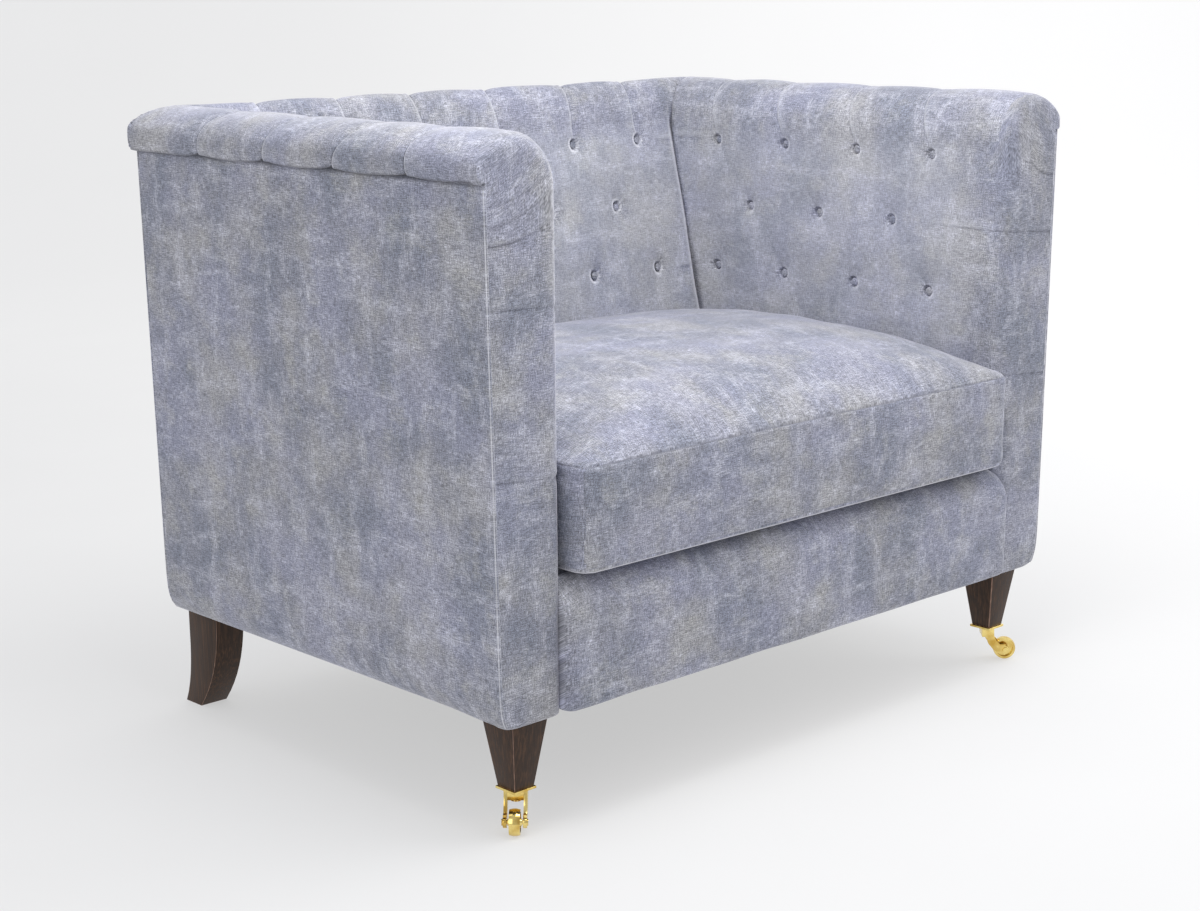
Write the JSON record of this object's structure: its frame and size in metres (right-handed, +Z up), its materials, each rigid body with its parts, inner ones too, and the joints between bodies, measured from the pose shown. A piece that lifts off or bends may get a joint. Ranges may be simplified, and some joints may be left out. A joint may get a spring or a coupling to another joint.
{
  "type": "snuggler chair",
  "caption": "Upholstered one and a half seat armchair with buttoned arms and back, a loose seat cushion, swept rear legs and brass castors at the front.",
  "frame": {"origin": "on the floor, below the middle of the chair's bounding box", "axes": "+X to the sitter's left, the right-hand side seen from the front; +Y from the front towards the back; +Z up"},
  "size_m": [1.06, 0.7246, 0.81],
  "materials": {
    "velvet": "soft mottled blue-grey velvet",
    "beech": "plain sawn",
    "steel": "zinc plated",
    "jute": "plain weave",
    "lining": "matt black cloth",
    "walnut": "dark satin lacquer",
    "brass": "polished"
  },
  "bodies": {
    "chair": {"inner_back_pad": "velvet", "left_arm_pad": "velvet", "right_arm_pad": "velvet", "left_outside_panel": "velvet", "right_outside_panel": "velvet", "outside_back_panel": "velvet", "front_border": "velvet", "back_buttons": "velvet", "left_arm_buttons": "velvet", "right_arm_buttons": "velvet", "front_rail": "beech", "front_facing_board": "beech", "rear_seat_rail": "beech", "base_back_rail": "beech", "left_side_rail": "beech", "right_side_rail": "beech", "left_front_post": "beech", "right_front_post": "beech", "left_rear_post": "beech", "right_rear_post": "beech", "left_arm_top_rail": "beech", "right_arm_top_rail": "beech", "left_arm_tack_rail": "beech", "right_arm_tack_rail": "beech", "back_top_rail": "beech", "back_uprights": "beech", "corner_blocks": "beech", "seat_springs": "steel", "spring_clips": "steel", "leg_bolts": "steel", "seat_deck": "jute", "back_webbing": "jute", "left_arm_webbing": "jute", "right_arm_webbing": "jute", "dust_cover": "lining", "left_front_leg": "walnut", "right_front_leg": "walnut", "left_rear_leg": "walnut", "right_rear_leg": "walnut", "left_castor_plate": "brass", "right_castor_plate": "brass", "left_castor_stem": "brass", "right_castor_stem": "brass"},
    "cushion": {"seat_cushion": "velvet"},
    "left_castor_swivel": {"left_castor_horn": "brass", "left_castor_axle": "brass"},
    "left_castor_roll": {"left_castor_wheel": "brass"},
    "right_castor_swivel": {"right_castor_horn": "brass", "right_castor_axle": "brass"},
    "right_castor_roll": {"right_castor_wheel": "brass"}
  },
  "joints": [
    {"name": "cushion_lift", "type": "slide", "parent": "chair", "child": "cushion", "axis": [0, 0, 1], "range_m": [0, 0.52]},
    {"name": "left_castor_swivel_joint", "type": "hinge", "parent": "chair", "child": "left_castor_swivel", "pos_m": [-0.453, -0.296, 0.05], "axis": [0, 0, 1], "continuous": true},
    {"name": "left_castor_roll_joint", "type": "hinge", "parent": "left_castor_swivel", "child": "left_castor_roll", "pos_m": [-0.47138, -0.31438, 0.016], "axis": [-0.7071, 0.7071, 0], "continuous": true},
    {"name": "right_castor_swivel_joint", "type": "hinge", "parent": "chair", "child": "right_castor_swivel", "pos_m": [0.453, -0.296, 0.05], "axis": [0, 0, 1], "continuous": true},
    {"name": "right_castor_roll_joint", "type": "hinge", "parent": "right_castor_swivel", "child": "right_castor_roll", "pos_m": [0.47138, -0.31438, 0.016], "axis": [0.7071, 0.7071, 0], "continuous": true}
  ]
}
